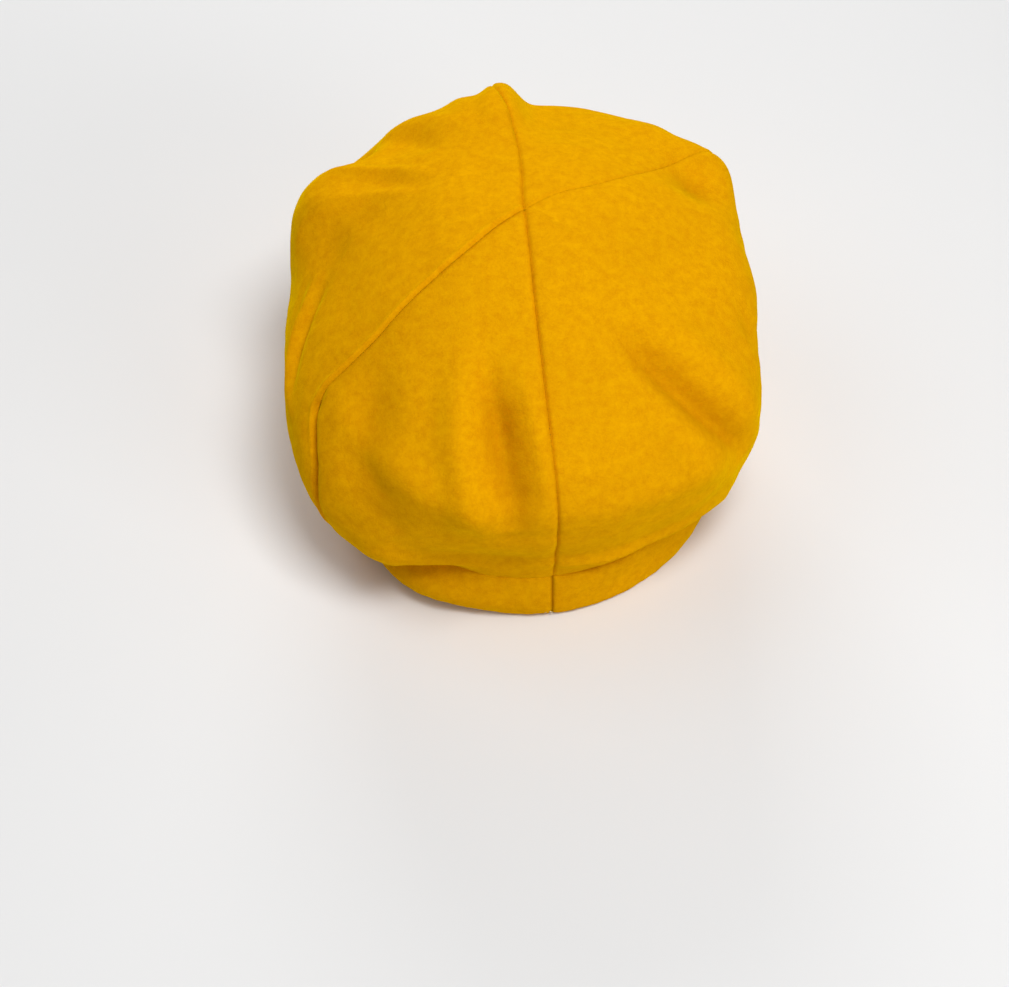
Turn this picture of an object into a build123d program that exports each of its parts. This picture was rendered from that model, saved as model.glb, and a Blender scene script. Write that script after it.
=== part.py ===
from build123d import *
import math
import os

# A four-panel sewn beret standing on the lower edge of its band, in millimetres.
# +Z is up, the origin is the centre of the head opening at the band's lower edge,
# the wearer faces -Y and the wearer's left side is +X.

# Head opening and band
HEAD_HALF_WIDTH = 87.5
HEAD_HALF_LENGTH = 97.5
BAND_HEIGHT = 27.0
BAND_HEM = 1.8
BAND_JOIN_GAP = 0.3
RIBBON_LOWER_EDGE = 2.0
RIBBON_UPPER_EDGE = 26.0

# Thickness of each material
WOOL = 1.8
INTERLINING = 0.8
RIBBON = 1.0
SATIN = 0.5
SEAM_ALLOWANCE_SPACE = 1.5

# Crown: the seams meet on a vertical axis, a little in front of the head's centre
APEX_Y = -8.5
APEX_HEIGHT = 145.0
CENTRE_HOLE_RADIUS = 2.5

# Directions are degrees from the wearer's left, turning towards the back of the head
SEAM_DIRECTIONS = {"left": 33.0, "back": 90.0, "right": 211.0, "front": 270.0}
PANELS = {
    "back_left": ("left", "back"),
    "back_right": ("back", "right"),
    "front_right": ("right", "front"),
    "front_left": ("front", "left"),
}

# The crown's widest line in eight equal directions, starting from the wearer's left:
# reach from the apex axis, height, fullness of the top and belly of the underside
WIDEST_LINE = [
    (107, 75, 0.37, 0.60),
    (127, 78, 0.38, 1.00),
    (120, 78, 0.32, 0.75),
    (121, 77, 0.34, 0.90),
    (99, 108, 0.32, 0.75),
    (117, 103, 0.33, 0.55),
    (112, 107, 0.36, 0.60),
    (118, 92, 0.35, 0.55),
]

# Shape of the crown's outline: shares of the reach where its top points stand, how far each
# of them has dropped, and the soft crease where the underside turns down to the band
TOP_SHARES = (0.36, 0.72, 0.97)
CROWN_EASE = 0.10
SHOULDER_DROP = 0.62
SHOULDER_FULLNESS = 0.60
RIM_ROUNDING = 0.16
CREASE_SHARE = 0.40
CREASE_BULGE = 1.5
CREASE_RISE = 5.0

# How finely the crown is drawn
SECTION_STEP = 12.0
PROFILE_POINTS = 26

# Threads: each line of stitching is a narrow strip, as wide as it is thick
CROWN_THREAD = 0.6
LINING_THREAD = 0.4
BAND_THREAD = 0.5
THREAD_CLEARANCE = 0.15
SEAM_THREAD_END = 0.985
RIBBON_STITCH_HEIGHT = 5.0
TACK_SHANK_RADIUS = 1.0
TACK_BAR_LENGTH = 4.0
TACK_BAR_RADIUS = 0.5
TACK_BAR_HEIGHT = 4.0

# Depths below the crown's outer surface
LINING_DEPTH = WOOL + SEAM_ALLOWANCE_SPACE
CROWN_DEPTH = LINING_DEPTH + SATIN
CROWN_THREAD_DEPTH = WOOL + THREAD_CLEARANCE
LINING_THREAD_DEPTH = LINING_DEPTH - THREAD_CLEARANCE - LINING_THREAD

# Outer half axes of the band, and how far inside them the thread rings run
BAND_THICKNESS = WOOL + INTERLINING + RIBBON
BAND_SEAM_INSET = WOOL + THREAD_CLEARANCE
BAND_HALF_WIDTH = HEAD_HALF_WIDTH + BAND_THICKNESS
BAND_HALF_LENGTH = HEAD_HALF_LENGTH + BAND_THICKNESS


def widest_line(direction):
    """Reach, height, fullness and belly in one direction, blended between the listed ones."""
    count = len(WIDEST_LINE)
    place = (direction % 360.0) / 360.0 * count
    index = int(place)
    t = place - index
    before, start, end, after = (WIDEST_LINE[(index + k) % count] for k in (-1, 0, 1, 2))
    blended = []
    for p0, p1, p2, p3 in zip(before, start, end, after):
        slope_start = (p2 - p0) / 2
        slope_end = (p3 - p1) / 2
        rise = p2 - p1
        curve = (3 * rise - 2 * slope_start - slope_end) * t**2
        curve += (slope_start + slope_end - 2 * rise) * t**3
        blended.append(p1 + slope_start * t + curve)
    return blended


def band_reach(direction):
    """Distance from the apex axis to the band's outer ellipse in one direction."""
    c = math.cos(math.radians(direction)) / BAND_HALF_WIDTH
    s = math.sin(math.radians(direction)) / BAND_HALF_LENGTH
    offset = APEX_Y / BAND_HALF_LENGTH
    square = c * c + s * s
    half_linear = offset * s
    return (-half_linear + math.sqrt(half_linear**2 - square * (offset**2 - 1))) / square


def outer_profile(direction):
    """The crown's outer line in one vertical plane, as (reach, height) along X and Z."""
    reach, height, fullness, belly = widest_line(direction)
    band = band_reach(direction)
    drop = APEX_HEIGHT - height
    overhang = reach - band
    top, shoulder, rim = (share * reach for share in TOP_SHARES)
    points = [
        (CENTRE_HOLE_RADIUS, APEX_HEIGHT),
        (top, APEX_HEIGHT - drop * CROWN_EASE * (1 - fullness)),
        (shoulder, APEX_HEIGHT - drop * (SHOULDER_DROP - SHOULDER_FULLNESS * fullness)),
        (rim, height + drop * RIM_ROUNDING),
        (reach, height),
        (band + overhang * belly, (height + BAND_HEIGHT) / 2),
        (band + overhang * belly * CREASE_SHARE + CREASE_BULGE, BAND_HEIGHT + CREASE_RISE),
        (band, BAND_HEIGHT),
    ]
    return Spline(*[(x, 0, z) for x, z in points], tangents=[(1, 0, 0), (0, 0, -1)])


def sunk_profile(profile, depth):
    """The same line moved into the hat by a depth, square to itself."""
    points = []
    for step in range(PROFILE_POINTS + 1):
        t = step / PROFILE_POINTS
        place = profile.position_at(t)
        along = profile.tangent_at(t)
        points.append((place.X + depth * along.Z, 0, place.Z - depth * along.X))
    return Spline(*points, tangents=[(1, 0, 0), (0, 0, -1)])


def on_crown(shape, direction):
    """Turn a shape drawn in the XZ plane to its direction round the apex axis."""
    return Pos(0, APEX_Y, 0) * Rot(0, 0, direction) * shape


def layer_outline(direction, depth, thickness, end=1.0):
    """Closed outline of a crown layer in one vertical plane, still in the XZ plane."""
    profile = outer_profile(direction)
    outside = sunk_profile(profile, depth).trim(0, end)
    inside = sunk_profile(profile, depth + thickness).trim(0, end)
    centre_edge = Line(outside @ 0, inside @ 0)
    band_edge = Line(outside @ 1, inside @ 1)
    return Wire([outside, band_edge, inside, centre_edge])


def crown_layer(first_seam, last_seam, depth, thickness):
    """One panel of a crown layer, from seam plane to seam plane."""
    start = SEAM_DIRECTIONS[first_seam]
    span = (SEAM_DIRECTIONS[last_seam] - start) % 360.0
    count = math.ceil(span / SECTION_STEP)
    sections = []
    for k in range(count + 1):
        direction = start + span * k / count
        sections.append(on_crown(layer_outline(direction, depth, thickness), direction))
    return Solid.make_loft(sections)


def seam_thread(seam, depth, size):
    """A line of stitching along one crown seam, at a depth below the outer surface."""
    direction = SEAM_DIRECTIONS[seam]
    outline = layer_outline(direction, depth, size, SEAM_THREAD_END)
    strip = extrude(make_face(outline), size / 2, both=True)
    return on_crown(strip, direction)


def band_oval(inset):
    """The band's outer ellipse, moved inwards."""
    return Ellipse(BAND_HALF_WIDTH - inset, BAND_HALF_LENGTH - inset)


def band_strip(inset, thickness, lower, upper):
    """One oval layer of the band between two heights."""
    return Pos(0, 0, lower) * extrude(band_oval(inset) - band_oval(inset + thickness), upper - lower)


def band_join():
    """The narrow gap where the two ends of a strip meet at the centre back."""
    reach = 2 * BAND_THICKNESS + 1
    return Pos(0, BAND_HALF_LENGTH, BAND_HEIGHT / 2) * Box(BAND_JOIN_GAP, reach, BAND_HEIGHT + 2)


def outer_band():
    """Self-fabric band, turned under at its lower edge and joined at the centre back."""
    face = band_strip(0, WOOL, 0, BAND_HEIGHT)
    hem = band_strip(WOOL, INTERLINING, 0, BAND_HEM)
    return face + hem - band_join()


def band_interlining():
    """Stiffener standing on the hem, behind the wool."""
    return band_strip(WOOL, INTERLINING, BAND_HEM, BAND_HEIGHT)


def sweatband():
    """Ribbon lining the inside of the band, its ends butted at the centre back."""
    ribbon = band_strip(WOOL + INTERLINING, RIBBON, RIBBON_LOWER_EDGE, RIBBON_UPPER_EDGE)
    return ribbon - band_join()


def thread_ring(inset, height):
    """A ring of stitching that follows the band."""
    return band_strip(inset, BAND_THREAD, height, height + BAND_THREAD)


def centre_tack():
    """Thread tack that closes the centre hole and ties crown and lining together."""
    knot = Pos(0, 0, -WOOL / 2) * Cylinder(CENTRE_HOLE_RADIUS, WOOL)
    shank = Pos(0, 0, -CROWN_DEPTH / 2) * Cylinder(TACK_SHANK_RADIUS, CROWN_DEPTH)
    foot = Pos(0, 0, -LINING_DEPTH - SATIN / 2) * Cylinder(CENTRE_HOLE_RADIUS, SATIN)
    return Pos(0, APEX_Y, APEX_HEIGHT) * (knot + shank + foot)


def back_seam_tack():
    """Short bar of thread that locks the foot of the centre-back join."""
    bar = Rot(0, 90, 0) * Cylinder(TACK_BAR_RADIUS, TACK_BAR_LENGTH)
    return Pos(0, BAND_HALF_LENGTH + TACK_BAR_RADIUS, TACK_BAR_HEIGHT) * bar


parts = {
    "outer_band": outer_band(),
    "band_interlining": band_interlining(),
    "sweatband": sweatband(),
    "band_seam_thread": thread_ring(BAND_SEAM_INSET, BAND_HEIGHT),
    "sweatband_thread": thread_ring(BAND_THICKNESS, RIBBON_STITCH_HEIGHT),
    "centre_tack": centre_tack(),
    "back_seam_tack": back_seam_tack(),
}
for name, (first, last) in PANELS.items():
    parts["crown_panel_" + name] = crown_layer(first, last, 0, WOOL)
    parts["lining_panel_" + name] = crown_layer(first, last, LINING_DEPTH, SATIN)
for name in SEAM_DIRECTIONS:
    parts["crown_seam_thread_" + name] = seam_thread(name, CROWN_THREAD_DEPTH, CROWN_THREAD)
    parts["lining_seam_thread_" + name] = seam_thread(name, LINING_THREAD_DEPTH, LINING_THREAD)

os.makedirs("parts", exist_ok=True)
for name, part in parts.items():
    export_step(part, f"parts/{name}.step")
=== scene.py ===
import math

import bpy
import numpy as np
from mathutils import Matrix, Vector
from mathutils.bvhtree import BVHTree


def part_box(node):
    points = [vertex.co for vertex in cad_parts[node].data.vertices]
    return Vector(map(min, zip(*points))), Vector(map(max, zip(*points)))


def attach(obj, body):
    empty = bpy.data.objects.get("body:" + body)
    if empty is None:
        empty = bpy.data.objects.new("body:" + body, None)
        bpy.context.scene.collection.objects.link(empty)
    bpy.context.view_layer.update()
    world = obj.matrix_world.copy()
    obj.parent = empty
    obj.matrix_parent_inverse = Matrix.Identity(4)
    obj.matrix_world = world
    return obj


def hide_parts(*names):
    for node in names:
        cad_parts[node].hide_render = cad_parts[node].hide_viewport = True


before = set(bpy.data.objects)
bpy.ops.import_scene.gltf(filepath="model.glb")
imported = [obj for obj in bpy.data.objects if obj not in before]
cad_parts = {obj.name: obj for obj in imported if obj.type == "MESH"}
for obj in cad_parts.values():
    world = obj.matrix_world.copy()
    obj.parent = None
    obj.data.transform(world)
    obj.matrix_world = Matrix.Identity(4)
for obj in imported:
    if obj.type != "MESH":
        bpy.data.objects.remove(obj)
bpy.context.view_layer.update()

# A mustard wool beret of four sewn panels. Metres, in the CAD model's frame:
# +Z up, -Y the way the wearer faces, +X to the wearer's left.
# "Direction" is degrees about the crown's upright axis from the wearer's left towards the
# back, and "polar" is degrees down from straight up, seen from the crown's middle.

MM = 0.001

# ---------------------------------------------------------------- places from the frame

# Each panel's first and last seam
PANELS = {
    "back_left": ("left", "back"),
    "back_right": ("back", "right"),
    "front_right": ("right", "front"),
    "front_left": ("front", "left"),
}

tack_low, tack_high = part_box("centre_tack")
AXIS = (tack_low + tack_high) / 2
APEX_HEIGHT = tack_high.z
MIDDLE_SHARE = 0.52
MIDDLE = np.array([AXIS.x, AXIS.y, MIDDLE_SHARE * APEX_HEIGHT])

_, band_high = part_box("outer_band")
BAND_TOP = band_high.z
BAND_X = band_high.x
BAND_Y = band_high.y
BAND_ROUND = math.pi * (BAND_X + BAND_Y)
ribbon_low, ribbon_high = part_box("sweatband")
RIBBON_WIDTH = ribbon_high.z - ribbon_low.z

# Thickness of the two cloths, and the lining's depth below the crown's outer surface
WOOL = 1.8 * MM
SATIN = 0.5 * MM
LINING_DEPTH = 4.3 * MM


def seam_direction(seam):
    """Direction in which a seam runs, from the middle of its CAD thread."""
    low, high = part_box("crown_seam_thread_" + seam)
    middle = (low + high) / 2 - AXIS
    return math.degrees(math.atan2(middle.y, middle.x)) % 360


SEAMS = {seam: seam_direction(seam) for seam in ("left", "back", "right", "front")}

# How far each seam strays from its plane: polar angle and degrees of direction
SEAM_DRIFT = {
    "left": [
        (0, 0), (8, 0), (25, 4), (45, 2), (62, 1),
        (76, -2), (81, -2), (90, 5), (98, 6.5), (118, 7),
    ],
    "back": [(0, 0), (34, -1), (60, 0), (80, 0.8), (100, 1.2), (118, 1)],
    "right": [(0, 0), (12, 0), (26, -5), (47, -1.6), (60, 1), (118, 1)],
    "front": [(0, 0), (16, -4), (33, -3.4), (50, -1), (60, 1.5), (72, 3), (118, 0)],
}

# ---------------------------------------------------------------- folds

# Broad rounded lobes and dents: direction, polar, radius in mm, height in mm
LOBES = [
    (0, 0, 32, 2.0),
    (330, 70, 24, 13.0),
    (311, 71, 10, -6.0),
    (307, 58, 12, -2.0),
    (209, 69, 17, 9.5),
    (227, 65, 16, 3.5),
    (197, 73, 18, 2.0),
    (203, 62.5, 13, -8.0),
    (301, 65, 12, 2.0),
    (2, 86, 20, 2.0),
    (176, 79, 20, 3.0),
    (290, 58, 26, 6.5),
    (252, 56, 24, -1.5),
    (54, 103, 13, 4.5),
    (73.5, 82, 12, 3.0),
    (40, 99, 24, 4.0),
    (22, 96, 24, 3.0),
    (150, 84, 14, 1.0),
    (146, 97, 16, 3.5),
    (158, 74, 9, -2.0),
]

# Folds: points of direction and polar, width in mm, height in mm, and sharpness
FOLDS = [
    # deep hollow beside the back seam, with a soft roll on each side
    ([(71, 53), (74, 60), (77, 67), (79, 74)], 5.5, -2.8, 2.0),
    ([(75.5, 62), (78, 70), (79.5, 76), (81, 83), (82, 92)], 8.5, -7.0, 2.0),
    ([(83, 56), (86, 66), (88, 76), (88.5, 86)], 5.0, 2.5, 2.0),
    ([(63, 52), (66, 64), (70, 76), (73, 84), (75, 90)], 8.5, 4.0, 2.0),
    # broad hollow on the left
    ([(41, 62), (45, 71), (49, 79), (54, 88), (58, 97)], 14.0, -4.5, 2.0),
    # rounded rim at the back left, and the wall that runs in below it
    ([(37, 74), (48, 78), (60, 81.5), (72, 85), (84, 87)], 9.0, 3.0, 2.0),
    ([(46, 97), (55, 101), (64, 104), (76, 105), (90, 106), (102, 106)], 9.0, -2.0, 2.0),
    # the crown's foot rolls over the band at the back right
    ([(84, 107), (94, 108), (106, 109), (118, 109), (129, 107)], 4.0, 2.6, 2.0),
    # slanting hollow on the right, with a roll above and below it
    ([(119, 50), (122, 58), (126, 68), (130, 78), (136, 89), (140, 98)], 7.5, -7.5, 2.0),
    ([(128, 50), (136, 62), (140, 76), (143, 90)], 9.0, 3.5, 2.0),
    ([(112, 62), (117, 70), (122, 82), (127, 94)], 9.0, 2.5, 2.0),
    # pressed crease from the middle towards the wearer's right and back
    ([(155, 4), (147, 9), (141, 15), (141, 24)], 1.5, 0.7, 1.8),
    ([(141, 18), (142, 36), (147, 56)], 2.2, 0.5, 1.6),
    # pinched tip where the front seam turns over the brow
    ([(272, 44), (271, 54), (270, 64), (270, 76)], 9.5, 11.0, 2.6),
    ([(281, 46), (280.5, 58), (280, 70)], 8.0, 4.5, 2.2),
    # drawn folds that run inwards from the front left corner
    ([(323, 70), (321.5, 62), (319.5, 53), (316, 40)], 3.2, 2.4, 2.0),
    ([(331, 72), (328, 64), (325.5, 54), (325, 36)], 4.0, -1.2, 2.0),
    ([(338, 74), (334, 61), (331, 50), (330, 42)], 3.0, 1.6, 2.0),
    ([(342, 70), (340, 60), (340, 48)], 7.0, -1.8, 2.0),
    ([(305, 68), (302.5, 57), (302, 46)], 6.0, -2.5, 2.0),
    ([(296, 64), (290, 54), (284, 42)], 6.0, 2.0, 2.0),
    # fold of slack cloth on the wearer's left, and the hollow in front of it
    ([(-5, 72), (1, 76), (8, 81), (16, 85), (24, 88)], 3.0, 3.0, 2.0),
    ([(-3, 69), (6, 76), (13, 81), (20, 85)], 4.0, -2.5, 2.0),
    ([(337, 73), (344, 68), (352, 62)], 10.0, -3.0, 2.0),
    # the left seam is pinched into a deep crease below the rim
    ([(31.5, 77), (31.7, 81), (34.5, 85), (38, 90.5), (39.5, 98.5), (40, 107)], 2.4, -4.5, 1.5),
]

# How far in mm the crown's sewn edge turns in behind the band's top, by direction, and how far
# it runs down there. The turn starts at this share of the way down.
EDGE_DIRECTIONS = [0, 45, 85, 105, 140, 200, 360]
EDGE_DEPTHS = [1.2, 0.6, 0.9, 1.5, 1.5, 1.2, 1.2]
EDGE_OVERLAP = 1.8 * MM
EDGE_START = 0.975
# the folds fade out over the last share of the way down
EDGE_FADE = 0.05

# The back of the crown hangs straight down to the band: how much of it does so, by direction,
# the polar angle where that starts, and its slight outward bow
HANG_DIRECTIONS = [56, 76, 112, 136]
HANG_WEIGHTS = [0, 1, 1, 0]
HANG_POLAR = 90
HANG_BOW = 0.5 * MM
# where that starts, this many rounds even out the rows on each side
HANG_ROUNDING = 6
ROUNDED_ROWS = 10

# Each seam's narrow groove, the wide shallow dip round it, and how far the painted shade along it
# darkens its colour
SEAM_DEPTH = {"left": 0.7 * MM, "back": 1.5 * MM, "right": 0.5 * MM, "front": 1.5 * MM}
SEAM_WIDTH = 1.0 * MM
SEAM_SHARPNESS = 1.5
SEAM_DIP = 0.5 * MM
SEAM_DIP_WIDTH = 5.0 * MM
SEAM_PAINTED_SHADE = {"left": 0.10, "back": 0.095, "right": 0.10, "front": 0.10}
SEAM_PAINTED_SHADE_WIDTH = 0.85 * MM
# the seam allowances are pressed to one side, which raises a narrow ridge in that panel and
# leaves it with this share of the seam's painted shade
SEAM_RIDGE = {"left": ("front_left", 1.3 * MM), "right": ("front_right", 0.3 * MM)}
SEAM_RIDGE_PLACE = 1.8 * MM
SEAM_RIDGE_WIDTH = 1.2 * MM
RIDGE_PAINTED_SHADE_SHARE = 0.1


# ---------------------------------------------------------------- the crown's surface


def band_reach(direction):
    """Distance from the crown's axis to the band's outer ellipse."""
    c = np.cos(np.radians(direction)) / BAND_X
    s = np.sin(np.radians(direction)) / BAND_Y
    offset = AXIS.y / BAND_Y
    square = c * c + s * s
    return (-offset * s + np.sqrt((offset * s) ** 2 - square * (offset**2 - 1))) / square


def polar_end(direction):
    """Polar angle of the crown's sewn edge, at the top of the band."""
    return 180 - np.degrees(np.arctan2(band_reach(direction), MIDDLE[2] - BAND_TOP))


def outward(direction, polar):
    """Unit vectors away from the crown's middle."""
    a = np.radians(direction)
    b = np.radians(polar)
    return np.stack([np.cos(a) * np.sin(b), np.sin(a) * np.sin(b), np.cos(b)], -1)


# The crown is measured in this many directions and at this many places down each of them
DIRECTION_COUNT = 180
SHARE_COUNT = 110
# the rays start outside the hat
RAY_START = 0.3
SMOOTHING_ROUNDS = 24
# the measured shape is kept from these shares of the way down: first a little, then wholly
KEEP_START = 0.88
KEEP_END = 0.94


def measure_crown():
    """Distance from the middle to the CAD crown, by direction and by share of the way down."""
    verts = []
    faces = []
    for name in PANELS:
        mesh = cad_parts["crown_panel_" + name].data
        start = len(verts)
        verts += [v.co.copy() for v in mesh.vertices]
        faces += [[i + start for i in face.vertices] for face in mesh.polygons]
    tree = BVHTree.FromPolygons(verts, faces)
    table = np.zeros((DIRECTION_COUNT, SHARE_COUNT))
    middle = Vector(MIDDLE)
    for i in range(DIRECTION_COUNT):
        direction = 360 * i / DIRECTION_COUNT
        end = polar_end(direction)
        for j in range(SHARE_COUNT):
            polar = end * j / (SHARE_COUNT - 1)
            out = Vector(outward(direction, polar))
            hit = tree.ray_cast(middle + out * RAY_START, -out, RAY_START)
            if hit[0] is None:
                # the ray went down the hole at the apex, so the crown is taken as level there
                hit_distance = (APEX_HEIGHT - middle.z) / out.z
            else:
                hit_distance = (hit[0] - middle).length
            table[i, j] = hit_distance
        table[i, -1] = math.hypot(band_reach(direction), middle.z - BAND_TOP)
    return settled(smoothed(table))


def smoothed(table):
    """Evens out the measured crown, but keeps its sewn edge and the crease above the band."""
    soft = table.copy()
    for _ in range(SMOOTHING_ROUNDS):
        above = np.concatenate([soft[:, :1], soft[:, :-1]], 1)
        below = np.concatenate([soft[:, 1:], soft[:, -1:]], 1)
        soft = (above + 2 * soft + below) / 4
        soft = (np.roll(soft, 1, 0) + 2 * soft + np.roll(soft, -1, 0)) / 4
    shares = np.linspace(0, 1, SHARE_COUNT)
    keep = np.clip((shares - KEEP_START) / (KEEP_END - KEEP_START), 0, 1)
    return soft * (1 - keep) + table * keep


def settled(table):
    """Lets the back of the crown hang straight from its rim to the band."""
    table = table.copy()
    for i in range(DIRECTION_COUNT):
        direction = 360 * i / DIRECTION_COUNT
        weight = np.interp(direction, HANG_DIRECTIONS, HANG_WEIGHTS)
        if weight == 0:
            continue
        end = polar_end(direction)
        polars = np.radians(end * np.linspace(0, 1, SHARE_COUNT))
        rays = np.column_stack([np.sin(polars), np.cos(polars)])
        first = int(HANG_POLAR / end * (SHARE_COUNT - 1))
        start = table[i, first] * rays[first]
        run = table[i, -1] * rays[-1] - start
        for j in range(first, SHARE_COUNT - 1):
            out = rays[j]
            # distance along this ray to the straight line between the two ends
            straight = (start[0] * run[1] - start[1] * run[0]) / (out[0] * run[1] - out[1] * run[0])
            t = (j - first) / (SHARE_COUNT - 1 - first)
            straight += HANG_BOW * math.sin(math.pi * t)
            table[i, j] += weight * (straight - table[i, j])
        start_row = first - ROUNDED_ROWS
        end_row = first + ROUNDED_ROWS + 2
        for _ in range(HANG_ROUNDING):
            near = table[i, start_row:end_row]
            table[i, start_row + 1:end_row - 1] = (near[:-2] + 2 * near[1:-1] + near[2:]) / 4
    return table


def spline_weights(f):
    """Catmull-Rom weights of four neighbours."""
    return [
        -0.5 * f + f**2 - 0.5 * f**3,
        1 - 2.5 * f**2 + 1.5 * f**3,
        0.5 * f + 2 * f**2 - 1.5 * f**3,
        -0.5 * f**2 + 0.5 * f**3,
    ]


CROWN = measure_crown()


def crown_distance(direction, share):
    """Smooth distance from the middle to the crown."""
    u = (direction % 360) / 360 * DIRECTION_COUNT
    v = np.clip(share, 0, 1) * (SHARE_COUNT - 1)
    i = np.floor(u).astype(int)
    j = np.minimum(np.floor(v).astype(int), SHARE_COUNT - 2)
    total = 0
    for a, weight_u in enumerate(spline_weights(u - i)):
        for b, weight_v in enumerate(spline_weights(v - j)):
            row = (i + a - 1) % DIRECTION_COUNT
            column = np.clip(j + b - 1, 0, SHARE_COUNT - 1)
            total = total + weight_u * weight_v * CROWN[row, column]
    return total


def crown_point(direction, share):
    """Point of the smooth crown, before folds and seams."""
    direction, share = np.broadcast_arrays(direction, share)
    polar = share * polar_end(direction)
    return MIDDLE + crown_distance(direction, share)[..., None] * outward(direction, polar)


# The crown's slope is taken over these steps of direction and share, and not nearer to the
# apex than this share, where the directions run together
SLOPE_TURN = 1
SLOPE_SHARE = 0.008
SLOPE_NEAREST = 0.03


def crown_normal(direction, share):
    """Outward normal of the smooth crown."""
    share = np.maximum(share, SLOPE_NEAREST)
    before = crown_point(direction - SLOPE_TURN, share)
    around = crown_point(direction + SLOPE_TURN, share) - before
    above = crown_point(direction, share - SLOPE_SHARE)
    down = crown_point(direction, share + SLOPE_SHARE) - above
    normal = np.cross(down, around)
    return normal / np.linalg.norm(normal, axis=-1, keepdims=True)


def smooth_path(points, steps=8):
    """Catmull-Rom line through a few (direction, polar) points."""
    points = np.array(points, float)
    padded = np.vstack([2 * points[0] - points[1], points, 2 * points[-1] - points[-2]])
    line = []
    for k in range(len(points) - 1):
        for f in np.arange(steps) / steps:
            line.append(sum(w * p for w, p in zip(spline_weights(f), padded[k:k + 4])))
    line.append(points[-1])
    return np.array(line)


def along_path(points, line):
    """Distance to a line in space, and how far along it the nearest place is, from 0 to 1."""
    lengths = np.linalg.norm(np.diff(line, axis=0), axis=1)
    starts = np.concatenate([[0], np.cumsum(lengths)])
    best = np.full(points.shape[:-1], 1e9)
    place = np.zeros(points.shape[:-1])
    for k, (a, b) in enumerate(zip(line[:-1], line[1:])):
        step = b - a
        t = np.clip(((points - a) @ step) / max(step @ step, 1e-12), 0, 1)
        distance = np.linalg.norm(points - a - t[..., None] * step, axis=-1)
        nearer = distance < best
        best = np.where(nearer, distance, best)
        place = np.where(nearer, (starts[k] + t * lengths[k]) / starts[-1], place)
    return best, place


def on_surface(path):
    """Points in space of a (direction, polar) line on the smooth crown."""
    return crown_point(path[:, 0], path[:, 1] / polar_end(path[:, 0]))


# A fold fades out towards its ends: with a lower power it keeps its height for longer
FOLD_FADE = 0.55
FOLD_TIP = 0.02


def fold_heights(points):
    """Height of all lobes and folds at each point."""
    total = np.zeros(points.shape[:-1])
    for direction, polar, radius, height in LOBES:
        centre = on_surface(np.array([[direction, polar]]))[0]
        distance = np.linalg.norm(points - centre, axis=-1)
        total += height * MM * np.exp(-(distance / (radius * MM)) ** 2)
    for path, width, height, sharpness in FOLDS:
        distance, place = along_path(points, on_surface(smooth_path(path)))
        fade = np.sin(np.pi * np.clip(place, FOLD_TIP, 1 - FOLD_TIP)) ** FOLD_FADE
        total += height * MM * fade * np.exp(-(distance / (width * MM)) ** sharpness)
    return total


WAVE_COUNT = 10
# shortest and longest wave, as shares of the ripples' size, and the range of their phases
WAVE_RANGE = (0.7, 1.5)
WAVE_PHASES = (0, 6.28)


def ripple(points, size, seed):
    """Smooth unevenness, mostly between -1 and 1, from a few crossed waves."""
    random = np.random.default_rng(seed)
    total = np.zeros(points.shape[:-1])
    for _ in range(WAVE_COUNT):
        wave = random.normal(size=3)
        wave *= 2 * np.pi / (size * random.uniform(*WAVE_RANGE)) / np.linalg.norm(wave)
        total += np.sin(points @ wave + random.uniform(*WAVE_PHASES))
    return total / WAVE_COUNT**0.5


def edge_fade(shares):
    """Falls to nothing at the crown's sewn edge, so that folds end there."""
    t = np.clip((1 - shares) / EDGE_FADE, 0, 1)
    return t * t * (3 - 2 * t)


def soften(values, rounds):
    """Rounds off a row of numbers."""
    for _ in range(rounds):
        middle = (values[:-2] + 2 * values[1:-1] + values[2:]) / 4
        values = np.concatenate([values[:1], middle, values[-1:]])
    return values


# The seams' drifts are rounded off over a row of polar angles
DRIFT_POLARS = np.linspace(0, 120, 241)
DRIFT_ROUNDING = 14


def rounded_drift(places):
    """A seam's drift at each of the polar angles."""
    polars, turns = zip(*places)
    return soften(np.interp(DRIFT_POLARS, polars, turns), DRIFT_ROUNDING)


DRIFTS = {seam: rounded_drift(places) for seam, places in SEAM_DRIFT.items()}


def drift(seam, polar):
    """How far a seam strays in direction at a polar angle."""
    return np.interp(polar, DRIFT_POLARS, DRIFTS[seam])


# ---------------------------------------------------------------- mesh making


def new_mesh(name, verts, faces, smooth=True):
    """A mesh object in the scene."""
    mesh = bpy.data.meshes.new(name)
    mesh.from_pydata([tuple(v) for v in verts], [], faces)
    mesh.update()
    obj = bpy.data.objects.new(name, mesh)
    bpy.context.scene.collection.objects.link(obj)
    if smooth:
        mesh.polygons.foreach_set("use_smooth", [True] * len(mesh.polygons))
    return obj


def grid_faces(rows, columns):
    """Quads of a grid of points."""
    faces = []
    for i in range(rows - 1):
        for j in range(columns - 1):
            corner = i * columns + j
            below = corner + columns
            faces.append((corner, below, below + 1, corner + 1))
    return faces


def set_values(obj, name, values):
    """Stores one number per vertex for the materials."""
    attribute = obj.data.attributes.new(name, "FLOAT", "POINT")
    attribute.data.foreach_set("value", np.asarray(values, np.float32).ravel())


def thicken(obj, thickness):
    """Gives a sheet its thickness, inwards."""
    modifier = obj.modifiers.new("thickness", "SOLIDIFY")
    modifier.thickness = thickness
    modifier.offset = -1
    modifier.use_quality_normals = True


# Columns of points beside a seam, by their distance from it, and the space between the others
# on the panel's widest line
EDGE_COLUMNS = np.array([0.0, 0.2, 0.42, 0.68, 1.0, 1.4, 1.9, 2.6, 3.5, 4.7, 6.2]) * MM
COLUMN_SPACE = 1.3 * MM
WIDEST_REACH = 118 * MM
ROW_COUNT = 165
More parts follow.
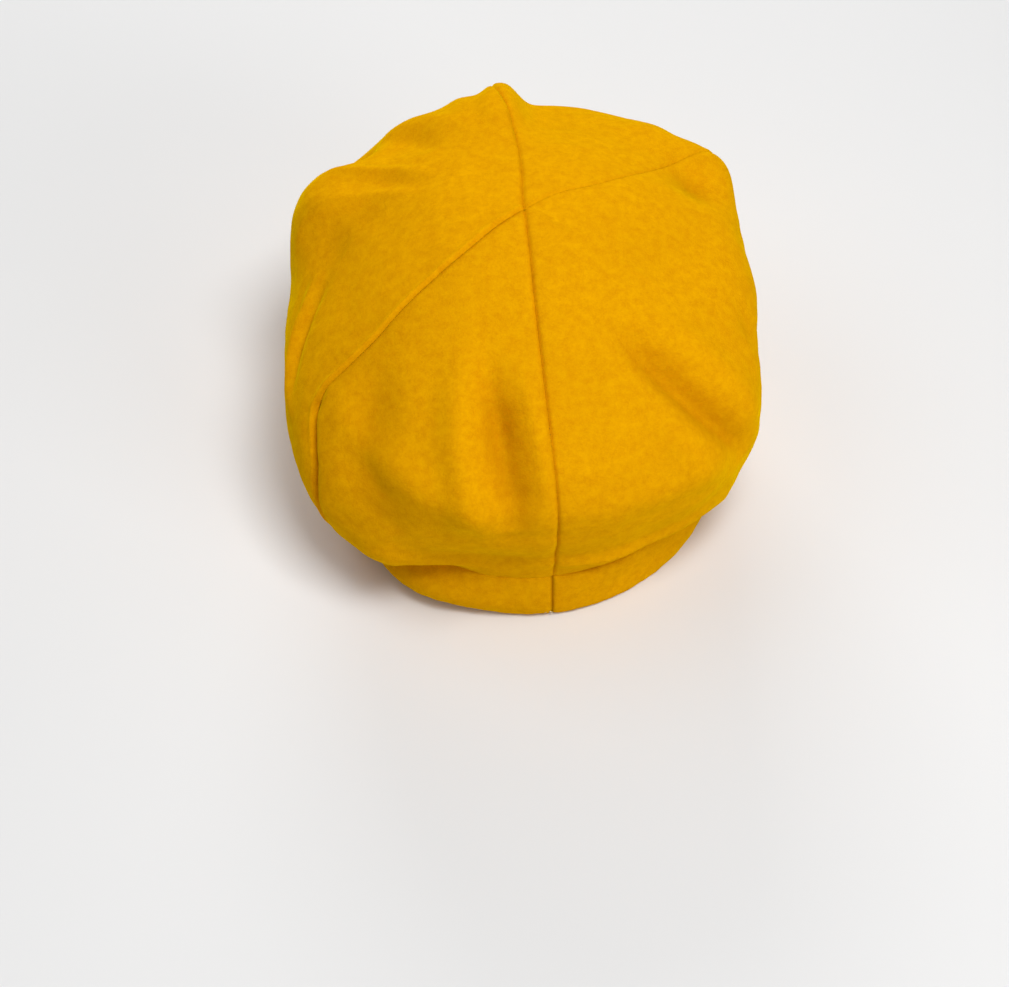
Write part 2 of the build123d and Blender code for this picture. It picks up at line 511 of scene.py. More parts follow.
# the panels start this near to the apex, as a share of the way down
FIRST_SHARE = 0.001
# a seam's close columns take at most this share of a narrow row
EDGE_SHARE = 0.3
# size in metres, height and seed of each layer of unevenness in the wool
WOOL_RIPPLES = [(0.030, 0.25 * MM, 5), (0.009, 0.10 * MM, 6)]
# a hollow this deep gets the darkest painted shade
PAINTED_SHADE_FULL_DEPTH = 6 * MM


def panel_grid(first, last, edge_columns, row_count, space):
    """Directions and shares of a panel's grid, with close columns beside both seams."""
    span = (SEAMS[last] - SEAMS[first]) % 360
    shares = FIRST_SHARE + (1 - FIRST_SHARE) * np.linspace(0, 1, row_count)
    widest = np.radians(span) * WIDEST_REACH
    inner_count = int((widest - 2 * edge_columns[-1]) / space)
    middle_direction = SEAMS[first] + span / 2
    start_drift = drift(first, shares * polar_end(SEAMS[first]))
    end_drift = drift(last, shares * polar_end(SEAMS[last]))
    directions = []
    for row, share in enumerate(shares):
        start = SEAMS[first] + start_drift[row]
        end = SEAMS[first] + span + end_drift[row]
        point = crown_point(np.array([middle_direction]), np.array([share]))[0]
        reach = math.hypot(point[0] - AXIS.x, point[1] - AXIS.y)
        width = math.radians(end - start) * reach
        scale = min(1, EDGE_SHARE * width / edge_columns[-1])
        edge = np.degrees(edge_columns * scale / reach)
        inner = np.linspace(start + edge[-1], end - edge[-1], inner_count)
        directions.append(np.concatenate([start + edge[:-1], inner, end - edge[-2::-1]]))
    directions = np.array(directions)
    return directions, np.repeat(shares[:, None], directions.shape[1], 1)


# A seam is only felt this many degrees round from it; further off it counts as a metre away
SEAM_RANGE = 85
FAR = 1.0


def seam_distance(points, directions, shares, seam):
    """Distance in space from a seam's line, for points not far from it."""
    polar = shares * polar_end(directions)
    seam_at = SEAMS[seam] + drift(seam, polar)
    turn = (directions - seam_at + 180) % 360 - 180
    reach = np.hypot(points[..., 0] - AXIS.x, points[..., 1] - AXIS.y)
    return np.where(np.abs(turn) < SEAM_RANGE, np.abs(reach * np.sin(np.radians(turn))), FAR)


def seam_relief(name, seam, distance):
    """Groove depth, ridge height and painted shade that a seam gives to one of its panels."""
    groove = SEAM_DEPTH[seam] * np.exp(-((distance / SEAM_WIDTH) ** SEAM_SHARPNESS))
    groove += SEAM_DIP * np.exp(-((distance / SEAM_DIP_WIDTH) ** 2))
    painted_shade = SEAM_PAINTED_SHADE[seam] * np.exp(-((distance / SEAM_PAINTED_SHADE_WIDTH) ** 2))
    side, height = SEAM_RIDGE.get(seam, (None, 0.0))
    if side != name:
        return groove, 0.0, painted_shade
    from_ridge = (distance - SEAM_RIDGE_PLACE) / SEAM_RIDGE_WIDTH
    return groove, height * np.exp(-(from_ridge**2)), painted_shade * RIDGE_PAINTED_SHADE_SHARE


def sewn_edge_move(base, directions, sewn):
    """Moves the crown's sewn edge in behind the band's top, and down."""
    depth = np.interp(directions % 360, EDGE_DIRECTIONS, EDGE_DEPTHS) * MM
    level = np.zeros(sewn.shape)
    inwards = np.stack([AXIS.x - base[..., 0], AXIS.y - base[..., 1], level], -1)
    inwards /= np.linalg.norm(inwards, axis=-1, keepdims=True) + 1e-9
    move = inwards * (sewn * depth)[..., None]
    move[..., 2] -= sewn * EDGE_OVERLAP
    return move


def make_panel(name, first, last):
    """One outer wool panel, with its folds and with its edges turned into the seams."""
    directions, shares = panel_grid(first, last, EDGE_COLUMNS, ROW_COUNT, COLUMN_SPACE)
    base = crown_point(directions, shares)
    normal = crown_normal(directions, shares)
    height = fold_heights(base) * edge_fade(shares)
    for size, amount, seed in WOOL_RIPPLES:
        height += amount * ripple(base, size, seed)
    depth = np.zeros(shares.shape)
    # painted shade in the colour along the seams' grooves
    painted_shade = np.zeros(shares.shape)
    for seam in (first, last):
        distance = seam_distance(base, directions, shares, seam)
        groove, ridge, dark = seam_relief(name, seam, distance)
        depth = np.maximum(depth, groove)
        height += ridge
        painted_shade = np.maximum(painted_shade, dark)
    sewn = np.clip((shares - EDGE_START) / (1 - EDGE_START), 0, 1) ** 2
    points = base + normal * (height - depth * (1 - sewn))[..., None]
    points += sewn_edge_move(base, directions, sewn)
    rows, columns = shares.shape
    panel = new_mesh("wool_panel_" + name, points.reshape(-1, 3), grid_faces(rows, columns))
    # the painted shade along the seams, stored for the wool's colour
    set_values(panel, "seam", painted_shade)
    # depth of the hollows, which sets the painted shade in them
    set_values(panel, "hollow_painted_shade", np.clip(-height / PAINTED_SHADE_FULL_DEPTH, -1, 1))
    thicken(panel, WOOL)
    return panel


# The lining's columns beside a seam, its rows, and the space between its other columns
LINING_COLUMNS = np.array([0.1, 0.4, 0.9, 1.8, 3.2, 5.0]) * MM
LINING_ROWS = 110
LINING_SPACE = 2.2 * MM
# size in metres, height and seed of the slack in the lining
LINING_WAVES = (0.016, 0.35 * MM, 8)
# the lining's seams stand up a little towards the wool
LINING_TUCK = 0.5 * MM
LINING_TUCK_WIDTH = 1.4 * MM


def make_lining(name, first, last):
    """One satin lining panel, which follows the wool panel at a small distance inside it."""
    directions, shares = panel_grid(first, last, LINING_COLUMNS, LINING_ROWS, LINING_SPACE)
    base = crown_point(directions, shares)
    normal = crown_normal(directions, shares)
    height = fold_heights(base) * edge_fade(shares) - LINING_DEPTH
    size, amount, seed = LINING_WAVES
    slack = amount * (1 + ripple(base, size, seed)) * edge_fade(shares)
    tuck = np.zeros(shares.shape)
    for seam in (first, last):
        distance = seam_distance(base, directions, shares, seam)
        tuck = np.maximum(tuck, LINING_TUCK * np.exp(-((distance / LINING_TUCK_WIDTH) ** 2)))
    points = base + normal * (height - slack + tuck)[..., None]
    rows, columns = shares.shape
    panel = new_mesh("lining_" + name, points.reshape(-1, 3), grid_faces(rows, columns))
    thicken(panel, SATIN)
    return panel


def band_frame(angles):
    """Points of the band's outer ellipse, with its outward directions."""
    points = np.stack([BAND_X * np.cos(angles), BAND_Y * np.sin(angles)], -1)
    out = np.stack([np.cos(angles) / BAND_X, np.sin(angles) / BAND_Y], -1)
    return points, out / np.linalg.norm(out, axis=-1, keepdims=True)


def band_angles(count, edge_columns):
    """Angles once round the band, starting and ending at the centre back."""
    edge = edge_columns / BAND_X
    inner = np.linspace(edge[-1], 2 * np.pi - edge[-1], count)
    start = np.pi / 2 - BAND_JOIN_X / BAND_X
    return start + np.concatenate([edge[:-1], inner, 2 * np.pi - edge[-2::-1]])


def band_strip(name, profile, angles, shift):
    """A strip round the band from a closed outline of (outwards, height), each row shifted."""
    centre, out = band_frame(angles)
    rows = []
    for outwards, height in profile:
        flat = centre + out * outwards
        points = np.column_stack([flat, np.full(len(angles), height)])
        outwards_move, up_move = shift(points, outwards, height)
        points[:, :2] += out * outwards_move[:, None]
        points[:, 2] += up_move
        rows.append(points)
    count = len(profile)
    columns = len(angles)
    verts = np.array(rows).reshape(-1, 3)
    faces = []
    for i in range(count):
        below = (i + 1) % count
        for j in range(columns - 1):
            upper = i * columns + j
            lower = below * columns + j
            faces.append((upper, upper + 1, lower + 1, lower))
    faces.append([i * columns for i in range(count)])
    faces.append([i * columns + columns - 1 for i in reversed(range(count))])
    return new_mesh(name, verts, faces)


# The band's section in mm: distance outside its CAD ellipse, and height. It runs down the
# outside, turns under at the lower edge and goes up the inside.
BAND_OUTLINE = [
    (-1.70, 26.8), (-1.20, 27.0), (-0.60, 26.9), (-0.05, 26.4), (0.40, 25.4), (0.80, 23.8),
    (1.20, 21.5), (1.60, 18.5), (1.90, 15.0), (2.05, 11.5), (2.00, 8.0), (1.75, 5.0),
    (1.35, 2.9), (0.80, 1.4), (0.15, 0.5), (-0.65, 0.05), (-1.50, 0.05), (-2.10, 0.4),
    (-2.45, 1.0), (-2.30, 1.6), (-1.72, 1.75), (-1.72, 8.0), (-1.72, 15.0), (-1.72, 22.0),
]
BAND_COLUMNS = 470
# points of the section further out than this are on the band's outside
BAND_FACE = -0.5 * MM
BAND_JOIN_X = -1.6 * MM
BAND_JOIN_DEPTH = 1.0 * MM
BAND_JOIN_WIDTH = 0.9 * MM
BAND_JOIN_SHARPNESS = 1.2
# painted shade in the colour along the band's join at the back
BAND_JOIN_PAINTED_SHADE = 0.665
# size in metres, height and seed of the band's slow waves, its small ones and its hem's
BAND_WAVES = (0.034, 0.55 * MM, 12)
BAND_RIPPLES = (0.008, 0.14 * MM, 13)
HEM_WAVES = (0.05, 0.25 * MM, 14)
HEM_HEIGHT = 6 * MM
# The band stands away a little at the back left and lies closer at the back right:
# direction, distance in mm, spread in degrees
BAND_SLACK = [(57, 8.5, 17), (118, -2.0, 12)]


def make_band():
    """Self-fabric band: a soft cuff, turned under at its edge and joined at the back."""
    profile = [(x * MM, z * MM) for x, z in BAND_OUTLINE]
    angles = band_angles(BAND_COLUMNS, EDGE_COLUMNS)
    join_painted_shade = []

    def shift(points, outwards, height):
        face = 1.0 if outwards > BAND_FACE else 0.0
        ease = math.sin(math.pi * min(1, max(0, height / BAND_TOP))) * face
        size, amount, seed = BAND_WAVES
        move = amount * ease * ripple(points, size, seed)
        turn = np.degrees(np.arctan2(points[:, 1], points[:, 0]))
        for direction, slack, spread in BAND_SLACK:
            move += slack * MM * ease * np.exp(-(((turn - direction) / spread) ** 2))
        size, amount, seed = BAND_RIPPLES
        move += amount * face * ripple(points, size, seed)
        distance = np.where(points[:, 1] > 0, np.abs(points[:, 0] - BAND_JOIN_X), FAR)
        groove = np.exp(-((distance / BAND_JOIN_WIDTH) ** BAND_JOIN_SHARPNESS))
        move -= face * BAND_JOIN_DEPTH * groove
        # painted shade along the join's groove
        join_painted_shade.append(BAND_JOIN_PAINTED_SHADE * np.exp(-((distance / SEAM_PAINTED_SHADE_WIDTH) ** 2)))
        up = np.zeros(len(points))
        if 0 < height < HEM_HEIGHT:
            size, amount, seed = HEM_WAVES
            up = amount * (1 + ripple(points * [1, 1, 0], size, seed)) * height / HEM_HEIGHT
        return move, up

    band = band_strip("wool_band", profile, angles, shift)
    # the join's painted shade, stored for the wool's colour
    set_values(band, "seam", np.array(join_painted_shade).ravel())
    return band


RIB_PITCH = 1.1 * MM
RIB_HEIGHT = 0.09 * MM
POINTS_PER_RIB = 4
# the ribbon's back and face in mm from the band's outside, and how its edges are rounded
RIBBON_BACK = -2.62
RIBBON_FACE = -3.45
RIBBON_MIDDLE = RIBBON_BACK - 0.4
RIBBON_ROUNDING = 0.3
RIBBON_BULGE = 0.1
RIBBON_FACE_ROWS = 9
# half the gap between the ribbon's ends, as an angle in radians
RIBBON_END_GAP = 0.0004
# size in metres, height and seed of the ribbon's slow waves
RIBBON_WAVES = (0.03, 0.25 * MM, 21)


def make_ribbon():
    """Grosgrain ribbon inside the band, with its fine upright ribs."""
    low = ribbon_low.z / MM
    high = ribbon_high.z / MM
    outline = [(RIBBON_BACK, high), (RIBBON_BACK, low), (RIBBON_MIDDLE, low - RIBBON_BULGE)]
    outline += [(RIBBON_FACE, low + RIBBON_ROUNDING)]
    outline += [(RIBBON_FACE, z) for z in np.linspace(low + 1, high - 1, RIBBON_FACE_ROWS)]
    outline += [(RIBBON_FACE, high - RIBBON_ROUNDING), (RIBBON_MIDDLE, high + RIBBON_BULGE)]
    profile = [(x * MM, z * MM) for x, z in outline]
    around = BAND_ROUND / RIB_PITCH
    count = int(around * POINTS_PER_RIB)
    angles = np.pi / 2 + np.linspace(RIBBON_END_GAP, 2 * np.pi - RIBBON_END_GAP, count)

    def shift(points, outwards, height):
        inside = 1.0 if outwards < RIBBON_MIDDLE * MM else 0.0
        turn = np.arctan2(points[:, 1] / BAND_Y, points[:, 0] / BAND_X)
        ribs = np.cos(turn * round(around))
        middle = math.sin(math.pi * (height - ribbon_low.z) / RIBBON_WIDTH)
        move = -inside * RIB_HEIGHT * (1 + ribs)
        size, amount, seed = RIBBON_WAVES
        move += inside * amount * middle * (ripple(points, size, seed) - 1)
        return move, np.zeros(len(points))

    return band_strip("sweatband_ribbon", profile, angles, shift)


# A direction that no thread follows, and the shares of a thread's radius from its end inwards
ODD_DIRECTION = np.array([0.31, 0.17, 0.93])
END_SIZES = (0.55, 0.9, 1.0)


def tubes(name, lines, radius, sides):
    """Round threads along several lines of points, as one mesh with closed ends."""
    verts = []
    faces = []
    for line in lines:
        line = np.array(line)
        along = np.gradient(line, axis=0)
        along /= np.linalg.norm(along, axis=1, keepdims=True)
        side = np.cross(along, ODD_DIRECTION)
        side /= np.linalg.norm(side, axis=1, keepdims=True)
        up = np.cross(side, along)
        start = len(verts)
        for k, place in enumerate(line):
            end = min(k, len(line) - 1 - k)
            size = radius * END_SIZES[min(end, 2)]
            for corner in range(sides):
                turn = 2 * math.pi * corner / sides
                verts.append(place + size * (math.cos(turn) * side[k] + math.sin(turn) * up[k]))
        faces += [[start + i for i in face] for face in ring_faces(len(line), sides)]
    return new_mesh(name, verts, faces)


def ring_faces(rows, sides):
    """Faces of a tube with closed ends."""
    faces = []
    for i in range(rows - 1):
        here = i * sides
        there = here + sides
        for j in range(sides):
            following = (j + 1) % sides
            faces.append((here + following, there + following, there + j, here + j))
    faces.append(list(range(sides)))
    faces.append(list(range(rows * sides - 1, (rows - 1) * sides - 1, -1)))
    return faces


# Length of a stitch. On the band, a stitch and the gap after it are this many stitches long.
STITCH = 2.6 * MM
STITCH_GAP = 1.35
STITCH_POINTS = 7
THREAD_SIDES = 6
# where a seam's thread starts and ends, as shares of the way down, and its number of points
THREAD_START = 0.03
THREAD_END = 0.97
THREAD_POINTS = 520


def seam_stitches(seam, name, depth, swing, radius):
    """Lockstitching along a seam: one thread that dips up and down through the cloth."""
    shares = np.linspace(THREAD_START, THREAD_END, THREAD_POINTS)
    polar = shares * polar_end(SEAMS[seam])
    directions = SEAMS[seam] + drift(seam, polar)
    base = crown_point(directions, shares)
    normal = crown_normal(directions, shares)
    height = fold_heights(base) * edge_fade(shares)
    run = np.concatenate([[0], np.cumsum(np.linalg.norm(np.diff(base, axis=0), axis=1))])
    height += -depth + swing * np.sin(2 * np.pi * run / STITCH)
    return tubes(name, [base + normal * height[:, None]], radius, THREAD_SIDES)


def stitch_ring(name, inset, height, radius, bulge):
    """Separate short stitches once round the band."""
    count = int(BAND_ROUND / (STITCH * STITCH_GAP))
    lines = []
    for k in range(count):
        start = 2 * math.pi * k / count
        turns = start + np.linspace(0, 1, STITCH_POINTS) * STITCH / BAND_X
        centre, out = band_frame(turns)
        rise = np.sin(np.linspace(0, math.pi, STITCH_POINTS)) * bulge
        flat = centre - out * (inset + rise)[:, None]
        lines.append(np.column_stack([flat, np.full(STITCH_POINTS, height)]))
    return tubes(name, lines, radius, THREAD_SIDES)


# The knot's coil starts this far below the apex, and its shank ends lower still
KNOT_DEPTH = 4.2 * MM
SHANK_DEPTH = 6.4 * MM
SHANK_POINTS = 8
SHANK_LEAN = 0.05 * MM
KNOT_TURNS = 3
KNOT_POINTS = 90
KNOT_RADIUS = 1.3 * MM
KNOT_PITCH = 0.45 * MM
KNOT_TAPER = 0.25 * MM
KNOT_THREAD = 0.28 * MM
KNOT_SIDES = 8


def make_centre_knot():
    """Hand tack under the junction of the seams: a few turns of thread and a shank."""
    turn = np.linspace(0, KNOT_TURNS * 2 * np.pi, KNOT_POINTS)
    radius = KNOT_RADIUS - KNOT_TAPER * turn / turn[-1]
    height = APEX_HEIGHT - KNOT_DEPTH - KNOT_PITCH * turn / (2 * np.pi)
    coil = np.column_stack([AXIS.x + radius * np.cos(turn), AXIS.y + radius * np.sin(turn), height])
    shank = np.column_stack([
        AXIS.x + SHANK_LEAN * np.arange(SHANK_POINTS),
        np.full(SHANK_POINTS, AXIS.y),
        APEX_HEIGHT - np.linspace(KNOT_DEPTH, SHANK_DEPTH, SHANK_POINTS),
    ])
    return tubes("centre_knot", [coil, shank], KNOT_THREAD, KNOT_SIDES)


# How far the back tack's knot stands outside the band, its loops and its two thread ends
TACK_STAND_OFF = 1.2 * MM
TACK_POINTS = 40
TACK_LOOP_WIDTH = 0.55 * MM
TACK_LOOP_HEIGHT = 0.5 * MM
TACK_LOOP_SWAY = 0.12 * MM
TACK_END_POINTS = 12
TACK_END_START = (0.4 * MM, 0.3 * MM)
TACK_END_REACH = 1.5 * MM
TACK_END_DROP = 1.6 * MM
TACK_END_BOW = 0.25 * MM
TACK_THREAD = 0.22 * MM


def make_back_tack():
    """Small pale knot with two thread ends at the foot of the centre-back join."""
    low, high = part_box("back_seam_tack")
    middle = (low + high) / 2
    outer = BAND_Y + TACK_STAND_OFF
    turn = np.linspace(0, 4 * np.pi, TACK_POINTS)
    knot = np.column_stack([
        middle.x + TACK_LOOP_WIDTH * np.cos(turn),
        outer + TACK_LOOP_SWAY * np.sin(3 * turn),
        middle.z + TACK_LOOP_HEIGHT * np.sin(turn),
    ])
    lines = [knot]
    start_side, start_drop = TACK_END_START
    t = np.linspace(0, 1, TACK_END_POINTS)
    for side in (-1, 1):
        lines.append(np.column_stack([
            middle.x + side * (start_side + TACK_END_REACH * t),
            outer + TACK_END_BOW * np.sin(np.pi * t),
            middle.z - start_drop - TACK_END_DROP * t**1.5,
        ]))
    return tubes("back_tack", lines, TACK_THREAD, KNOT_SIDES)


# ---------------------------------------------------------------- materials

WHITE = (1, 1, 1, 1)


def new_material(name, roughness, sheen=0.0, tint=WHITE, sheen_roughness=0.5, specular=0.2):
    """A material whose shader's fixed values are set on its own sockets."""
    material = bpy.data.materials.new(name)
    material.use_nodes = True
    nodes = material.node_tree.nodes
    shader = nodes["Principled BSDF"]
    shader.inputs["Roughness"].default_value = roughness
    shader.inputs["Specular IOR Level"].default_value = specular
    shader.inputs["Sheen Weight"].default_value = sheen
    shader.inputs["Sheen Tint"].default_value = tint
    shader.inputs["Sheen Roughness"].default_value = sheen_roughness
    return material, nodes, material.node_tree.links, shader


def noise_node(nodes, links, place, scale, detail, roughness=0.5):
    """Noise over the object's own coordinates."""
    noise = nodes.new("ShaderNodeTexNoise")
    noise.inputs["Scale"].default_value = scale
    noise.inputs["Detail"].default_value = detail
    noise.inputs["Roughness"].default_value = roughness
    links.new(place.outputs["Object"], noise.inputs["Vector"])
    return noise


# The mix node's sockets for its factor and its two colours, and its colour output
MIX_INPUTS = (0, 6, 7)
MIX_OUTPUT = 2


def mix_colours(nodes, links, factor, first, second):
    """Mixes two colours; the factor and each colour is a fixed value or a socket."""
    mix = nodes.new("ShaderNodeMix")
    mix.data_type = "RGBA"
    mix.clamp_factor = True
    for value, index in zip((factor, first, second), MIX_INPUTS):
        socket = mix.inputs[index]
        if isinstance(value, bpy.types.NodeSocket):
            links.new(value, socket)
        else:
            socket.default_value = value
    return mix.outputs[MIX_OUTPUT]


def ramp(nodes, links, value, low, high, to_low=0.0, to_high=1.0):
    """Stretches a value from one range to another."""
    node = nodes.new("ShaderNodeMapRange")
    node.inputs["From Min"].default_value = low
    node.inputs["From Max"].default_value = high
    node.inputs["To Min"].default_value = to_low
    node.inputs["To Max"].default_value = to_high
    links.new(value, node.inputs["Value"])
    return node.outputs["Result"]


def vertex_value(nodes, name):
    """The number stored at each vertex under a name."""
    attribute = nodes.new("ShaderNodeAttribute")
    attribute.attribute_name = name
    return attribute.outputs["Fac"]


def add_bump(nodes, links, shader, height, strength, distance):
    """Roughens a shader's surface by a height."""
    bump = nodes.new("ShaderNodeBump")
    bump.inputs["Strength"].default_value = strength
    bump.inputs["Distance"].default_value = distance
    links.new(height, bump.inputs["Height"])
    links.new(bump.outputs["Normal"], shader.inputs["Normal"])


WOOL_BRIGHT = (0.800, 0.375, 0.0010, 1)
WOOL_MID = (0.740, 0.345, 0.0010, 1)
WOOL_DEEP = (0.650, 0.262, 0.0010, 1)
# colour of the painted shade in the seams and deep hollows
WOOL_PAINTED_SHADE = (0.300, 0.085, 0.0005, 1)
WOOL_SHEEN = (0.92, 0.92, 0.0, 1)


def make_wool():
    """Brushed wool: mottled fibres over a fine weave, with a soft nap, and painted shade along the
    seams and in deep hollows.
    """
    material, nodes, links, shader = new_material(
        "mustard_wool", 1.0, sheen=0.36, tint=WOOL_SHEEN, sheen_roughness=0.35, specular=0.0
    )
    place = nodes.new("ShaderNodeTexCoord")
    # slow changes of the dye, mottled clumps of fibres, and single fibres that catch the light
    cloud = noise_node(nodes, links, place, scale=38, detail=3)
    mottle = noise_node(nodes, links, place, scale=240, detail=5, roughness=0.8)
    fibre = noise_node(nodes, links, place, scale=1900, detail=5, roughness=0.7)
    dye = ramp(nodes, links, cloud.outputs["Fac"], 0.3, 0.7)
    colour = mix_colours(nodes, links, dye, WOOL_MID, WOOL_BRIGHT)
    clump = ramp(nodes, links, mottle.outputs["Fac"], 0.36, 0.64, 0.0, 0.95)
    colour = mix_colours(nodes, links, clump, colour, WOOL_DEEP)
    light = ramp(nodes, links, fibre.outputs["Fac"], 0.48, 0.68, 0.0, 0.7)
    colour = mix_colours(nodes, links, light, colour, WOOL_BRIGHT)
    # painted shade: seams and deep hollows are darker and redder
    seam = ramp(nodes, links, vertex_value(nodes, "seam"), 0.0, 1.0, 0.0, 0.9)
    colour = mix_colours(nodes, links, seam, colour, WOOL_PAINTED_SHADE)
    hollow_painted_shade = ramp(nodes, links, vertex_value(nodes, "hollow_painted_shade"), 0.1, 1.0, 0.0, 0.3)
    colour = mix_colours(nodes, links, hollow_painted_shade, colour, WOOL_PAINTED_SHADE)
    links.new(colour, shader.inputs["Base Color"])
    weave = noise_node(nodes, links, place, scale=1100, detail=2)
    surface = nodes.new("ShaderNodeMath")
    surface.operation = "ADD"
    links.new(mottle.outputs["Fac"], surface.inputs[0])
    links.new(weave.outputs["Fac"], surface.inputs[1])
    add_bump(nodes, links, shader, surface.outputs[0], strength=0.35, distance=0.6 * MM)
    return material


def make_plain_cloth(name, dark, light, roughness, sheen, scale, distance):
    """A simple cloth or thread: two close tones and a fine surface."""
    material, nodes, links, shader = new_material(name, roughness, sheen)
    place = nodes.new("ShaderNodeTexCoord")
    tone = noise_node(nodes, links, place, scale, detail=3)
    blend = ramp(nodes, links, tone.outputs["Fac"], 0.3, 0.7)
    colour = mix_colours(nodes, links, blend, (*dark, 1), (*light, 1))
    links.new(colour, shader.inputs["Base Color"])
    add_bump(nodes, links, shader, tone.outputs["Fac"], 0.4, distance)
    return material


# Darker and lighter tone, roughness, sheen, scale of the noise, and depth of the roughening
PLAIN_CLOTHS = {
    "brown_thread": ((0.10, 0.035, 0.001), (0.20, 0.075, 0.002), 0.8, 0.2, 2500, 0.2 * MM),
    "pale_thread": ((0.62, 0.50, 0.24), (0.80, 0.70, 0.42), 0.7, 0.2, 2500, 0.2 * MM),
    "satin_lining": ((0.30, 0.17, 0.02), (0.38, 0.22, 0.03), 0.35, 0.1, 900, 0.1 * MM),
    "grosgrain_ribbon": ((0.24, 0.12, 0.01), (0.32, 0.17, 0.015), 0.6, 0.2, 900, 0.2 * MM),
    "stiffener": ((0.75, 0.73, 0.68), (0.85, 0.83, 0.78), 0.9, 0.1, 700, 0.2 * MM),
}
wool = make_wool()
cloths = {name: make_plain_cloth(name, *values) for name, values in PLAIN_CLOTHS.items()}


def paint(obj, material):
    """Gives an object one material."""
    obj.data.materials.clear()
    obj.data.materials.append(material)


# ---------------------------------------------------------------- build


def place(piece, material, slot, node):
    """Finishes a piece: its material, its body and the CAD node that it replaces. The slot is not
    used.
    """
    paint(piece, material)
    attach(piece, "root")
    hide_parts(node)
    return piece


def place_thread(piece, node):
    """Finishes a piece made of the brown sewing thread."""
    place(piece, cloths["brown_thread"], "wool_thread", node)


# Depth, swing and radius of each kind of seam thread
SEAM_THREADS = {
    "crown": (2.6 * MM, 0.25 * MM, 0.20 * MM),
    "lining": (3.75 * MM, 0.10 * MM, 0.16 * MM),
}
# Inset, height, radius and bulge of the two rings of stitches
RIBBON_RING = (3.62 * MM, 5.2 * MM, 0.2 * MM, 0.10 * MM)
BAND_RING = (2.2 * MM, BAND_TOP + 0.25 * MM, 0.2 * MM, 0.05 * MM)

for panel_name, (first_seam, last_seam) in PANELS.items():
    panel = make_panel(panel_name, first_seam, last_seam)
    place(panel, wool, "wool_cloth", "crown_panel_" + panel_name)
    lining = make_lining(panel_name, first_seam, last_seam)
    place(lining, cloths["satin_lining"], "satin_lining", "lining_panel_" + panel_name)

for seam_name in SEAMS:
    for layer, (depth, swing, radius) in SEAM_THREADS.items():
        stitches = seam_stitches(seam_name, f"{layer}_stitches_{seam_name}", depth, swing, radius)
        place_thread(stitches, f"{layer}_seam_thread_{seam_name}")

band = place(make_band(), wool, "wool_cloth", "outer_band")
ribbon = place(make_ribbon(), cloths["grosgrain_ribbon"], "ribbon", "sweatband")
place_thread(stitch_ring("ribbon_stitches", *RIBBON_RING), "sweatband_thread")
place_thread(stitch_ring("band_stitches", *BAND_RING), "band_seam_thread")
place_thread(make_centre_knot(), "centre_tack")
place(make_back_tack(), cloths["pale_thread"], "pale_thread", "back_seam_tack")
paint(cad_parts["band_interlining"], cloths["stiffener"])

# ---------------------------------------------------------------- floor, light and camera

FLOOR_REACH = 4
FLOOR_DARK = (0.77, 0.77, 0.77, 1)
FLOOR_LIGHT = (0.79, 0.79, 0.79, 1)

# Place, target, size in metres and power in watts of each square light
LIGHTS = {
    "key": ((-0.30, 0.56, 1.7), (0, 0, 0.08), 0.7, 22.8),
    "fill": ((1.1, -0.3, 1.3), (0, 0, 0.08), 1.2, 4),
    "rim": ((0.1, -1.6, 0.6), (0, 0, 0.1), 0.9, 16),
    "low": ((-1.0, 1.2, 0.6), (0, 0, 0.05), 0.8, 7),
}
WORLD_STRENGTH = 0.14

# The camera's angles in degrees (180 is straight behind), its distance in metres and its lens
# in mm. It looks at a point above the origin that is moved sideways and up in the picture.
CAMERA_AZIMUTH = 174.1
CAMERA_ELEVATION = 50.7
CAMERA_DISTANCE = 0.900
CAMERA_LENS = 70.1
CAMERA_SENSOR = 36
AIM_HEIGHT = 0.070
AIM_SIDEWAYS = -0.0093
AIM_UP = -0.0678


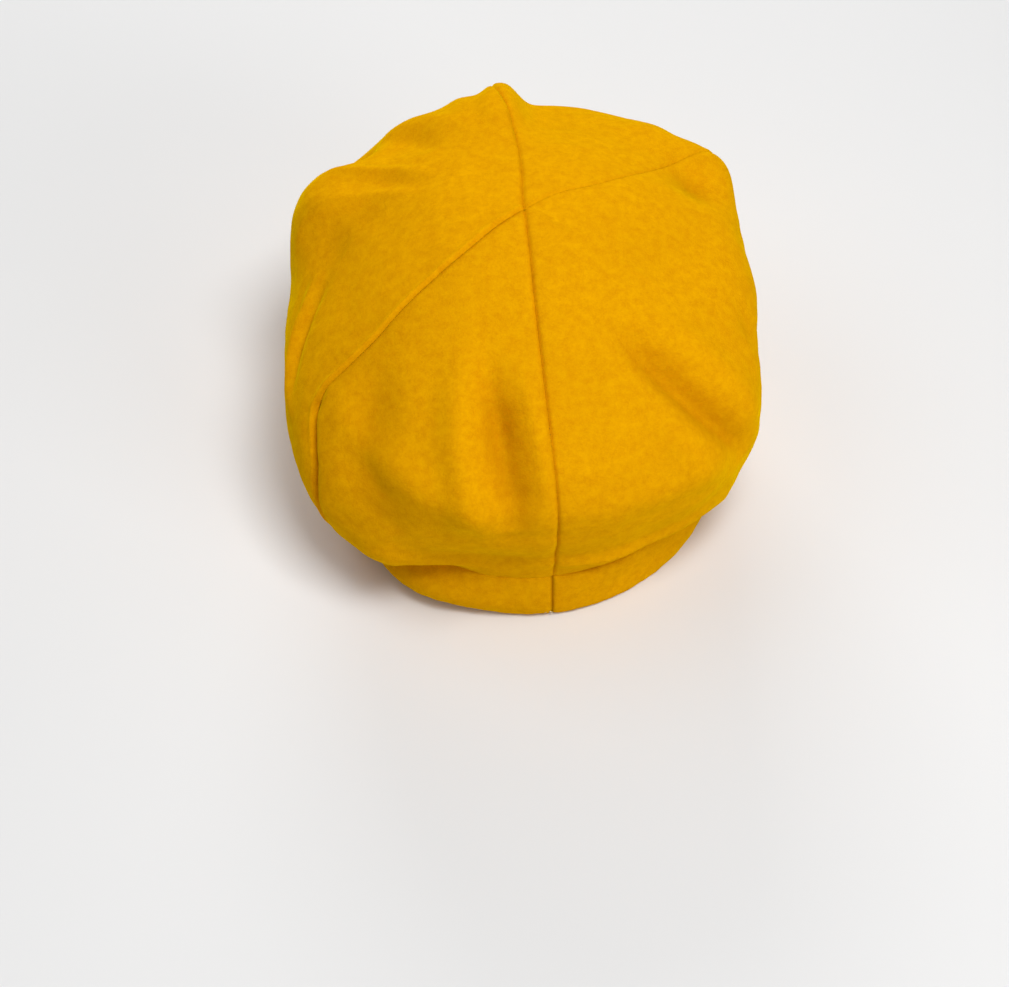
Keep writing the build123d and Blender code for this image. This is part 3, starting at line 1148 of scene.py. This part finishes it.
def make_floor():
    """Plain pale floor."""
    reach = FLOOR_REACH
    corners = [(-reach, -reach, 0), (reach, -reach, 0), (reach, reach, 0), (-reach, reach, 0)]
    floor = new_mesh("floor", corners, [(0, 1, 2, 3)], False)
    material, nodes, links, shader = new_material("pale_floor", roughness=0.9)
    place = nodes.new("ShaderNodeTexCoord")
    tone = noise_node(nodes, links, place, scale=3, detail=2)
    colour = mix_colours(nodes, links, tone.outputs["Fac"], FLOOR_DARK, FLOOR_LIGHT)
    links.new(colour, shader.inputs["Base Color"])
    paint(floor, material)


def make_light(name, place, target, size, power):
    """A square area light aimed at a point."""
    light = bpy.data.lights.new(name, "AREA")
    light.shape = "SQUARE"
    light.size = size
    light.energy = power
    obj = bpy.data.objects.new(name, light)
    bpy.context.scene.collection.objects.link(obj)
    obj.location = place
    obj.rotation_euler = (Vector(target) - Vector(place)).to_track_quat("-Z", "Y").to_euler()


def make_camera():
    """Camera behind and above the hat, at the photograph's angle."""
    azimuth = math.radians(CAMERA_AZIMUTH)
    elevation = math.radians(CAMERA_ELEVATION)
    back = Vector((
        math.sin(azimuth) * math.cos(elevation),
        -math.cos(azimuth) * math.cos(elevation),
        math.sin(elevation),
    ))
    side = Vector((math.cos(azimuth), math.sin(azimuth), 0))
    up = back.cross(side)
    aim = Vector((0, 0, AIM_HEIGHT)) + side * AIM_SIDEWAYS + up * AIM_UP
    camera = bpy.data.objects.new("camera", bpy.data.cameras.new("camera"))
    bpy.context.scene.collection.objects.link(camera)
    camera.location = aim + back * CAMERA_DISTANCE
    camera.rotation_euler = (aim - camera.location).to_track_quat("-Z", "Y").to_euler()
    camera.data.lens = CAMERA_LENS
    camera.data.sensor_width = CAMERA_SENSOR
    bpy.context.scene.camera = camera


def make_world():
    """Soft even light from all round."""
    world = bpy.data.worlds.new("studio")
    world.use_nodes = True
    background = world.node_tree.nodes["Background"]
    background.inputs["Color"].default_value = WHITE
    background.inputs["Strength"].default_value = WORLD_STRENGTH
    bpy.context.scene.world = world


make_floor()
for light_name, light_values in LIGHTS.items():
    make_light(light_name, *light_values)
make_world()
make_camera()
bpy.context.scene.view_settings.view_transform = "Standard"
